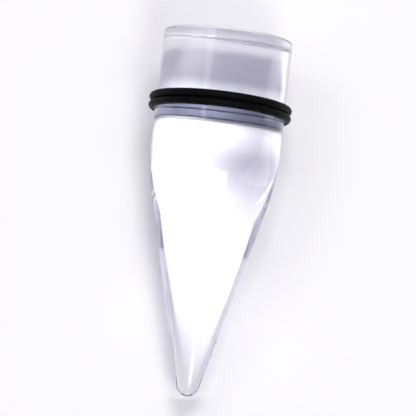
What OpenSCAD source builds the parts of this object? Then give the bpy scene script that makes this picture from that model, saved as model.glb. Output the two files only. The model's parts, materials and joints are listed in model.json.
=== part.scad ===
// Ear stretching taper of clear acrylic, lying on its side with its two rubber O-rings on.
// Millimetres. The floor is Z = 0, the axis lies over Y with the point at -Y and the flat end at +Y,
// and the origin is on the floor under the middle of the outline.

/* [Taper] */
// Diameter of the straight wearing shaft, one inch gauge
shaft_d = 25; // [16:0.5:32]
// Length from the rounded point to the flat end
overall_l = 70; // [66:1:90]
// Distance from the point to where the cone's line would meet the shaft's line
point_l = 43; // [36:1:46]
// Radius of the rounded point
tip_r = 2.2; // [1:0.1:3]
// Radius of the soft shoulder between the cone and the shaft
shoulder_r = 45; // [20:1:60]
// Radius of the polished edge round the flat end
end_edge_r = 0.6; // [0.2:0.1:1.5]

/* [O-rings] */
// Thickness of the rubber cord
cord_d = 1.5; // [1:0.1:2]
// How much of the cord is pressed flat where it grips the shaft
cord_flat = 0.25; // [0.1:0.05:0.4]
// Distance from the flat end to the middle of the ring pair
rings_from_end = 14; // [8:0.5:15]

/* [Clearances] */
// Gap between each ring and the shaft
grip_gap = 0.03; // [0.02:0.01:0.05]
// Gap between the two rings
pair_gap = 0.05; // [0.03:0.01:0.1]

/* [Hidden] */
$fn = 128;

acrylic = [0.90, 0.90, 0.95, 0.35];
rubber = [0.02, 0.02, 0.02];

tip_steps = 10;
shoulder_steps = 8;
edge_steps = 4;

shaft_r = shaft_d / 2;
cord_r = cord_d / 2;

// The cone's line touches the tip's circle and passes through the corner at point_l.
corner_reach = norm([point_l - tip_r, shaft_r]);
cone_angle = atan2(shaft_r, point_l - tip_r) - asin(tip_r / corner_reach);

// The shoulder's arc touches both lines, and ends on the shaft this far past the corner.
shoulder_end = point_l + shoulder_r * tan(cone_angle / 2);

// The cord's circle sits on the shaft by its pressed flat.
ring_bore_r = shaft_r + grip_gap;
cord_centre_r = ring_bore_r + cord_r - cord_flat;
pair_at = overall_l - rings_from_end;
tip_side_at = pair_at - pair_gap / 2 - cord_r;
head_side_at = pair_at + pair_gap / 2 + cord_r;

// Lying at rest: the floor is the line that touches the shoulder's arc and the tip-side ring.
// Both are circles in the side view, with their centres this far apart.
rest_run = tip_side_at - shoulder_end;
rest_drop = cord_centre_r - (shaft_r - shoulder_r);
rest_reach = norm([rest_run, rest_drop]);
lie_angle = atan2(rest_drop, rest_run) - asin((shoulder_r - cord_r) / rest_reach);

// Height of a point of the side view over the floor, at s along the axis and r towards the floor.
floor_at = sin(lie_angle) * shoulder_end + cos(lie_angle) * (shoulder_r - shaft_r) - shoulder_r;
function height(s, r) = sin(lie_angle) * s - cos(lie_angle) * r - floor_at;
function run(s, r) = cos(lie_angle) * s + sin(lie_angle) * r;

// Both ends of the outline along the floor, for the origin.
low_run = run(tip_r, 0) - tip_r;
high_run = run(overall_l - end_edge_r, shaft_r - end_edge_r) + end_edge_r;
middle_run = (low_run + high_run) / 2;

// Points of an arc in the half section, as [radius, place along the axis]. Angles are counted from
// straight outward, towards the flat end.
function arc(centre, r, from, to, steps) = [
    for (i = [0:steps])
        let (a = from + (to - from) * i / steps)
        centre + r * [cos(a), sin(a)]
];

// Lays a piece that was made upright, with the point at the origin and the axis up, on the floor.
module lying() {
    translate([0, -middle_run, height(0, 0)])
        rotate([lie_angle - 90, 0, 0])
            children();
}

// The solid taper: rounded point, cone, soft shoulder, straight shaft and flat end.
module taper_body() {
    section = concat(
        [[0, overall_l], [0, 0]],
        arc([0, tip_r], tip_r, -90 + 90 / tip_steps, -cone_angle, tip_steps - 1),
        arc([shaft_r - shoulder_r, shoulder_end], shoulder_r, -cone_angle, 0, shoulder_steps),
        arc([shaft_r - end_edge_r, overall_l - end_edge_r], end_edge_r, 0, 90, edge_steps)
    );
    color(acrylic)
        lying()
            rotate_extrude()
                polygon(section);
}

// One O-ring: a round cord with its inner side pressed flat against the shaft.
module o_ring(at) {
    color(rubber)
        lying()
            translate([0, 0, at])
                rotate_extrude()
                    difference() {
                        translate([cord_centre_r, 0])
                            circle(r = cord_r, $fn = 32);
                        translate([0, -cord_d])
                            square([ring_bore_r, 2 * cord_d]);
                    }
}

module o_ring_head_side() {
    o_ring(head_side_at);
}

module o_ring_tip_side() {
    o_ring(tip_side_at);
}

taper_body();
o_ring_head_side();
o_ring_tip_side();
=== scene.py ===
"""Looks of a clear acrylic ear stretching taper, lying on a pale floor with its two O-rings on. Metres."""

import json
import math

import bpy
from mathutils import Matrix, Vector


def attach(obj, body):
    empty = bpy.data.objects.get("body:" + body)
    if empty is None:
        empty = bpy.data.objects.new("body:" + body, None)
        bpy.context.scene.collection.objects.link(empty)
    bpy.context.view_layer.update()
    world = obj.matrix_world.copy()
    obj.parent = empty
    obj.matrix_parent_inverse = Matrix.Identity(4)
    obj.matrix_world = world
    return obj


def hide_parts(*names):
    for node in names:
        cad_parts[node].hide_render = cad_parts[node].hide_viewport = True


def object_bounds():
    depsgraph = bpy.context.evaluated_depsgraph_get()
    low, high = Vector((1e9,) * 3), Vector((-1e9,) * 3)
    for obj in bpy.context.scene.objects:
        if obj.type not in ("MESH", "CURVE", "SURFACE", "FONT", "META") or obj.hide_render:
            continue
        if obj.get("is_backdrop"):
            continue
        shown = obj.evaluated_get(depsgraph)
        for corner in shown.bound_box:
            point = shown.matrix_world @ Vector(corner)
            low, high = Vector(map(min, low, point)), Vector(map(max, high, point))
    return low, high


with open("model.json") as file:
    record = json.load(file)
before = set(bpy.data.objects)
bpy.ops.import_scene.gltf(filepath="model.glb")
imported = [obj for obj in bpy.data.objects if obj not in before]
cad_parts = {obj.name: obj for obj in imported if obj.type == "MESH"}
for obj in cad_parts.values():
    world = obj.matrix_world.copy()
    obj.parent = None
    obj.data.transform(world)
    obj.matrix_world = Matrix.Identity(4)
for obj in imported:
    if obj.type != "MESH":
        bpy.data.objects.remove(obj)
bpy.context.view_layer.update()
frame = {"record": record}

MM = 0.001

# The taper's axis and shaft, from the frame.
MOUNTS = {mount["name"]: mount for mount in frame["record"]["mounts"]}
AXIS = Vector(MOUNTS["head_face"]["axis"]).normalized()
FLAT_END = Vector(MOUNTS["head_face"]["pos_m"])
SHAFT_R = MOUNTS["lobe_seat"]["dims"]["r_mm"] * MM
ACROSS = Vector((1, 0, 0))
UPWARD = ACROSS.cross(AXIS)

# The rest of the half section, as in the part's source.
OVERALL_L = 70 * MM
POINT_L = 43 * MM
TIP_R = 2.2 * MM
SHOULDER_R = 45 * MM
END_EDGE_R = 0.6 * MM
CORD_D = 1.5 * MM
CORD_FLAT = 0.25 * MM
RINGS_FROM_END = 14 * MM
GRIP_GAP = 0.03 * MM
PAIR_GAP = 0.05 * MM

CORNER_REACH = math.hypot(POINT_L - TIP_R, SHAFT_R)
CONE_ANGLE = math.atan2(SHAFT_R, POINT_L - TIP_R) - math.asin(TIP_R / CORNER_REACH)
SHOULDER_END = POINT_L + SHOULDER_R * math.tan(CONE_ANGLE / 2)
TIP = FLAT_END - AXIS * OVERALL_L

# The cord's circle sits on the shaft by its pressed flat.
CORD_R = CORD_D / 2
BORE_R = SHAFT_R + GRIP_GAP
CORD_CENTRE_R = BORE_R + CORD_R - CORD_FLAT

# The two rings' places along the axis, counted from the point.
PAIR_AT = OVERALL_L - RINGS_FROM_END
RING_OFFSET = PAIR_GAP / 2 + CORD_R
RINGS = {
    "o_ring_tip_side": PAIR_AT - RING_OFFSET,
    "o_ring_head_side": PAIR_AT + RING_OFFSET,
}

# The pressed cords bulge sideways until this much is left between the two rings.
PAIR_TOUCH = 0.005 * MM
BULGE = (CORD_R + (PAIR_GAP - PAIR_TOUCH) / 2) / CORD_R

# A moulding line runs round the widest part of each ring.
MOULD_LINE_H = 0.03 * MM
MOULD_LINE_HALF = math.radians(6)

# How fine the meshes are.
TURN_STEPS = 192
TIP_STEPS = 16
CONE_STEPS = 60
SHOULDER_STEPS = 32
SHAFT_STEPS = 50
EDGE_STEPS = 8
FACE_STEPS = 14
CORD_STEPS = 84
FLAT_STEPS = 4

# Acrylic: fine rings left by turning, a slow wave left by polishing, a faint haze in patches, and a duller
# end face and point.
ACRYLIC_COLOUR = (0.985, 0.985, 0.995, 1)
ACRYLIC_TINT = (0.90, 0.895, 0.94, 1)
ACRYLIC_IOR = 1.49
ABSORPTION_PER_M = 42
TURNING_PER_M = 1600
TURNING_DEPTH = 0.0009 * MM
WAVE_PER_M = 130
WAVE_DEPTH = 0.004 * MM
HAZE_PER_M = 420
HAZE_PATCHES = (0.45, 0.75)
POLISH_HAZE = 0.05
END_ROUGHNESS = 0.06

# The edge round the end face is scuffed and whitish. EDGE_FADE is the share of its radius over which the
# scuffing sets in.
EDGE_FADE = 0.2
EDGE_ROUGHNESS = 0.9
EDGE_FROST = 0.4

# Rubber: a fine grain, patches that are duller, specks of dust, and a pale painted reflection where it is
# pressed on the acrylic.
RUBBER_COLOUR = (0.002, 0.002, 0.003, 1)
RUBBER_ROUGHNESS = (0.42, 0.62)
RUBBER_SPECULAR = 0.06
DULL_PER_M = 900
DULL_PATCHES = (0.3, 0.7)
GRAIN_PER_M = 9000
GRAIN_DEPTH = 0.004 * MM
DUST_COLOUR = (0.008, 0.008, 0.009, 1)
DUST_PER_M = 3500
DUST_SPECKS = (0.55, 0.75)
PAINTED_REFLECTION_COLOUR = (0.17, 0.175, 0.25, 1)
PAINTED_REFLECTION_REACH = 0.3 * MM

# The floor lies a little under z = 0, clear of the moulding line of the ring that rests on it.
FLOOR_HALF = 2.0
FLOOR_DROP = 0.05 * MM
FLOOR_SHADES = ((0.955, 0.955, 0.965, 1), (0.97, 0.97, 0.98, 1))
FLOOR_PER_M = 40
FLOOR_ROUGHNESS = 0.6

# The studio: softboxes as (azimuth, elevation, side, power), and a cool sky that is brighter overhead.
SOFTBOXES = {
    "key": (25, 57, 0.20, 1.4),
    "back": (170, 66, 0.27, 2.0),
    "side": (240, 58, 0.34, 0.7),
}
SOFTBOX_DISTANCE = 0.8
LAMP_COLOUR = (1.0, 1.0, 0.91)
SKY_RIM = (0.20, 0.19, 0.27, 1)
SKY_MIDDLE = (0.395, 0.385, 0.44, 1)
SKY_TOP = (0.56, 0.54, 0.65, 1)

# The camera looks at the taper as the photograph does. Angles in degrees, the sensor in millimetres.
VIEW_AZIMUTH = 6.7
VIEW_ELEVATION = 75.5
VIEW_DISTANCE = 0.85
TAPER_IN_FRAME = 0.88
SENSOR_WIDTH = 36

# The colour sockets of a Mix node, whose names its number sockets also have.
MIX_A = 6
MIX_B = 7
MIX_RESULT = 2


def arc(centre_s, centre_r, radius, start, end, steps):
    """Points (along, radius) of an arc. Angles are counted from straight outward, towards the flat end."""
    points = []
    for i in range(steps + 1):
        angle = start + (end - start) * i / steps
        points.append((centre_s + radius * math.sin(angle), centre_r + radius * math.cos(angle)))
    return points


def line(start, end, steps):
    """Points between two points of the half section, without either of them."""
    points = []
    for i in range(1, steps):
        t = i / steps
        points.append((start[0] + (end[0] - start[0]) * t, start[1] + (end[1] - start[1]) * t))
    return points


def add_object(name, data):
    thing = bpy.data.objects.new(name, data)
    bpy.context.collection.objects.link(thing)
    return thing


def lathe(name, section, closed=False):
    """A mesh turned round the taper's axis from (along, radius) points. Radius 0 makes a pole."""
    verts = []
    rows = []
    for s, r in section:
        row = []
        for k in range(1 if r == 0 else TURN_STEPS):
            angle = 2 * math.pi * k / TURN_STEPS
            outward = ACROSS * math.cos(angle) + UPWARD * math.sin(angle)
            row.append(len(verts))
            verts.append(TIP + AXIS * s + outward * r)
        rows.append(row)
    after = rows[1:] + rows[:1] if closed else rows[1:]
    faces = []
    for a, b in zip(rows, after):
        for k in range(TURN_STEPS):
            n = (k + 1) % TURN_STEPS
            if len(a) == 1:
                faces.append((a[0], b[k], b[n]))
            elif len(b) == 1:
                faces.append((a[k], b[0], a[n]))
            else:
                faces.append((a[k], b[k], b[n], a[n]))
    mesh = bpy.data.meshes.new(name)
    mesh.from_pydata(verts, [], faces)
    mesh.validate()
    mesh.polygons.foreach_set("use_smooth", [True] * len(mesh.polygons))
    return add_object(name, mesh)


def taper_section():
    """Half section of the taper, from the point to the middle of the flat end."""
    tip = arc(TIP_R, 0, TIP_R, -math.pi / 2, -CONE_ANGLE, TIP_STEPS)
    tip[0] = (0, 0)
    shoulder = arc(SHOULDER_END, SHAFT_R - SHOULDER_R, SHOULDER_R, -CONE_ANGLE, 0, SHOULDER_STEPS)
    edge = arc(OVERALL_L - END_EDGE_R, SHAFT_R - END_EDGE_R, END_EDGE_R, 0, math.pi / 2, EDGE_STEPS)
    face_middle = (OVERALL_L, 0)
    return (
        tip
        + line(tip[-1], shoulder[0], CONE_STEPS)
        + shoulder
        + line(shoulder[-1], edge[0], SHAFT_STEPS)
        + edge
        + line(edge[-1], face_middle, FACE_STEPS)
        + [face_middle]
    )


def mould_line(angle):
    """How far the moulding line stands up at an angle round the cord, from 0 to 1."""
    if abs(angle) >= MOULD_LINE_HALF:
        return 0
    return math.cos(angle / MOULD_LINE_HALF * math.pi / 2)


def ring_section(at):
    """Closed section of an O-ring: a round cord with a flat where it grips the shaft."""
    reach = math.pi - math.acos((CORD_CENTRE_R - BORE_R) / CORD_R)
    points = []
    for i in range(CORD_STEPS + 1):
        angle = -reach + 2 * reach * i / CORD_STEPS
        radius = CORD_R + MOULD_LINE_H * mould_line(angle)
        points.append((at + radius * BULGE * math.sin(angle), CORD_CENTRE_R + radius * math.cos(angle)))
    return points + line(points[-1], points[0], FLAT_STEPS)


def make_taper(material):
    body = lathe("taper_acrylic", taper_section())
    body.data.materials.append(material)
    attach(body, "root")
    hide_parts("taper_body")


def make_ring(node, at, material):
    ring = lathe(node + "_rubber", ring_section(at), closed=True)
    ring.data.materials.append(material)
    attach(ring, "root")
    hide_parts(node)


def new_material(name):
    material = bpy.data.materials.new(name)
    material.use_nodes = True
    return material, material.node_tree, material.node_tree.nodes["Principled BSDF"]


def add_node(tree, kind, *values, **settings):
    """A node whose first inputs take the values, each of them a plain value or a socket to link."""
    node = tree.nodes.new("ShaderNode" + kind)
    for name, value in settings.items():
        setattr(node, name, value)
    for socket, value in zip(node.inputs, values):
        if isinstance(value, bpy.types.NodeSocket):
            tree.links.new(value, socket)
        elif value is not None:
            socket.default_value = value
    return node


def noise(tree, place, per_m, detail):
    return add_node(tree, "TexNoise", place, None, per_m, detail).outputs["Fac"]


def remap(tree, value, from_low, from_high, to_low, to_high):
    node = add_node(tree, "MapRange", value, from_low, from_high, to_low, to_high)
    return node.outputs["Result"]


def bump(tree, height, depth, under=None):
    """A bump of the given depth in metres, laid over another one if there is one."""
    node = add_node(tree, "Bump")
    node.inputs["Strength"].default_value = 1
    node.inputs["Distance"].default_value = depth
    tree.links.new(height, node.inputs["Height"])
    if under:
        tree.links.new(under, node.inputs["Normal"])
    return node.outputs["Normal"]


def taper_coords(tree):
    """The place on the piece, its distance along the taper's axis, and its distance from the axis."""
    place = add_node(tree, "TexCoord").outputs["Object"]
    from_tip = add_node(tree, "VectorMath", place, TIP, operation="SUBTRACT").outputs["Vector"]
    along = add_node(tree, "VectorMath", from_tip, AXIS, operation="DOT_PRODUCT").outputs["Value"]
    off_axis = add_node(tree, "VectorMath", from_tip, AXIS, operation="CROSS_PRODUCT").outputs["Vector"]
    outward = add_node(tree, "VectorMath", off_axis, operation="LENGTH").outputs["Value"]
    return place, along, outward


def turned_surface(tree, place, along, outward):
    """The normal of the turned and polished acrylic."""
    across_turning = add_node(tree, "Math", along, outward, operation="ADD").outputs["Value"]
    turning = add_node(tree, "TexNoise", None, across_turning, TURNING_PER_M, 3.0, noise_dimensions="1D")
    wave = noise(tree, place, WAVE_PER_M, detail=1.0)
    return bump(tree, turning.outputs["Fac"], TURNING_DEPTH, bump(tree, wave, WAVE_DEPTH))


def scuffed_edge(tree, along, outward):
    """1 on the rounded edge of the end face, and 0 elsewhere."""
    faded = END_EDGE_R * (1 - EDGE_FADE)
    past_shaft = remap(tree, along, OVERALL_L - END_EDGE_R, OVERALL_L - faded, 0, 1)
    past_face = remap(tree, outward, SHAFT_R - END_EDGE_R, SHAFT_R - faded, 0, 1)
    return add_node(tree, "Math", past_shaft, past_face, operation="MINIMUM").outputs["Value"]


def acrylic():
    material, tree, shader = new_material("clear_acrylic")
    place, along, outward = taper_coords(tree)
    tree.links.new(turned_surface(tree, place, along, outward), shader.inputs["Normal"])

    scuffed = scuffed_edge(tree, along, outward)
    edge = remap(tree, scuffed, 0, 1, 0, EDGE_ROUGHNESS)
    end = remap(tree, along, OVERALL_L - END_EDGE_R, OVERALL_L - END_EDGE_R / 2, 0, END_ROUGHNESS)
    point = remap(tree, along, TIP_R, 0, 0, END_ROUGHNESS)
    roughness = remap(tree, noise(tree, place, HAZE_PER_M, detail=4.0), *HAZE_PATCHES, 0, POLISH_HAZE)
    for more in (end, point, edge):
        roughness = add_node(tree, "Math", roughness, more, operation="ADD").outputs["Value"]
    tree.links.new(roughness, shader.inputs["Roughness"])
    tree.links.new(remap(tree, scuffed, 0, 1, 1, 1 - EDGE_FROST), shader.inputs["Transmission Weight"])

    shader.inputs["Base Color"].default_value = ACRYLIC_COLOUR
    shader.inputs["IOR"].default_value = ACRYLIC_IOR
    absorption = add_node(tree, "VolumeAbsorption", ACRYLIC_TINT, ABSORPTION_PER_M)
    tree.links.new(absorption.outputs["Volume"], tree.nodes["Material Output"].inputs["Volume"])
    return material


def rubber():
    material, tree, shader = new_material("black_rubber")
    place, _, outward = taper_coords(tree)
    grain = noise(tree, place, GRAIN_PER_M, detail=2.0)
    tree.links.new(bump(tree, grain, GRAIN_DEPTH), shader.inputs["Normal"])
    dull = noise(tree, place, DULL_PER_M, detail=4.0)
    tree.links.new(remap(tree, dull, *DULL_PATCHES, *RUBBER_ROUGHNESS), shader.inputs["Roughness"])

    dust = add_node(tree, "ValToRGB", noise(tree, place, DUST_PER_M, detail=5.0))
    colours = (RUBBER_COLOUR, DUST_COLOUR)
    for stop, position, colour in zip(dust.color_ramp.elements, DUST_SPECKS, colours):
        stop.position = position
        stop.color = colour
    # Painted reflection: the face pressed on the acrylic is coloured a pale blue-grey, standing in for
    # light seen there through the acrylic.
    pressed = remap(tree, outward, BORE_R + PAINTED_REFLECTION_REACH, BORE_R, 0, 1)
    painted_reflection = add_node(tree, "Mix", data_type="RGBA")
    tree.links.new(pressed, painted_reflection.inputs["Factor"])
    tree.links.new(dust.outputs["Color"], painted_reflection.inputs[MIX_A])
    painted_reflection.inputs[MIX_B].default_value = PAINTED_REFLECTION_COLOUR
    tree.links.new(painted_reflection.outputs[MIX_RESULT], shader.inputs["Base Color"])
    shader.inputs["Specular IOR Level"].default_value = RUBBER_SPECULAR
    return material


def floor_material():
    material, tree, shader = new_material("pale_floor")
    place = add_node(tree, "TexCoord").outputs["Object"]
    shade = add_node(tree, "ValToRGB", noise(tree, place, FLOOR_PER_M, detail=3.0))
    for stop, colour in zip(shade.color_ramp.elements, FLOOR_SHADES):
        stop.color = colour
    tree.links.new(shade.outputs["Color"], shader.inputs["Base Color"])
    shader.inputs["Roughness"].default_value = FLOOR_ROUGHNESS
    return material


def make_floor():
    corners = [(FLOOR_HALF * x, FLOOR_HALF * y, 0) for x, y in ((-1, -1), (1, -1), (1, 1), (-1, 1))]
    mesh = bpy.data.meshes.new("floor")
    mesh.from_pydata(corners, [], [(0, 1, 2, 3)])
    mesh.materials.append(floor_material())
    floor = add_object("floor", mesh)
    floor.location.z = -FLOOR_DROP
    floor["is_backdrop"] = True


def spot(azimuth, elevation, distance):
    """A place seen from the origin. Azimuth 0 is on the side of the point, and 90 is on the right."""
    a = math.radians(azimuth)
    e = math.radians(elevation)
    return Vector((
        distance * math.sin(a) * math.cos(e),
        -distance * math.cos(a) * math.cos(e),
        distance * math.sin(e),
    ))


def look_against(thing, direction):
    """Turns a lamp or the camera so that it looks against a direction."""
    thing.rotation_mode = "QUATERNION"
    thing.rotation_quaternion = (-direction).to_track_quat("-Z", "Y")


def softbox(name, azimuth, elevation, side, power):
    data = bpy.data.lights.new(name, "AREA")
    data.size = side
    data.energy = power
    data.color = LAMP_COLOUR
    light = add_object(name, data)
    light.location = spot(azimuth, elevation, SOFTBOX_DISTANCE)
    look_against(light, light.location)


def make_world():
    world = bpy.data.worlds.new("studio")
    bpy.context.scene.world = world
    world.use_nodes = True
    tree = world.node_tree
    toward = add_node(tree, "TexCoord").outputs["Generated"]
    height = add_node(tree, "SeparateXYZ", toward).outputs["Z"]
    ramp = add_node(tree, "ValToRGB", height)
    stops = ramp.color_ramp.elements
    stops[0].color = SKY_RIM
    stops[1].color = SKY_TOP
    stops.new(0.5).color = SKY_MIDDLE
    tree.links.new(ramp.outputs["Color"], tree.nodes["Background"].inputs["Color"])


def make_camera():
    low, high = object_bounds()
    back = spot(VIEW_AZIMUTH, VIEW_ELEVATION, 1)
    data = bpy.data.cameras.new("camera")
    data.sensor_width = SENSOR_WIDTH
    data.lens = SENSOR_WIDTH * VIEW_DISTANCE * TAPER_IN_FRAME / OVERALL_L
    camera = add_object("camera", data)
    camera.location = (low + high) / 2 + back * VIEW_DISTANCE
    look_against(camera, back)
    bpy.context.scene.camera = camera


def set_light_paths():
    scene = bpy.context.scene
    scene.view_settings.view_transform = "Standard"
    scene.view_settings.look = "None"
    cycles = scene.cycles
    cycles.max_bounces = 24
    cycles.transmission_bounces = 24
    cycles.glossy_bounces = 12
    cycles.diffuse_bounces = 6
    cycles.caustics_reflective = True
    cycles.caustics_refractive = True
    cycles.blur_glossy = 0.0
    cycles.sample_clamp_indirect = 0
    cycles.use_denoising = True


clear_acrylic = acrylic()
black_rubber = rubber()
make_taper(clear_acrylic)
for node, at in RINGS.items():
    make_ring(node, at, black_rubber)

make_floor()
make_world()
for name, settings in SOFTBOXES.items():
    softbox(name, *settings)
make_camera()
set_light_paths()
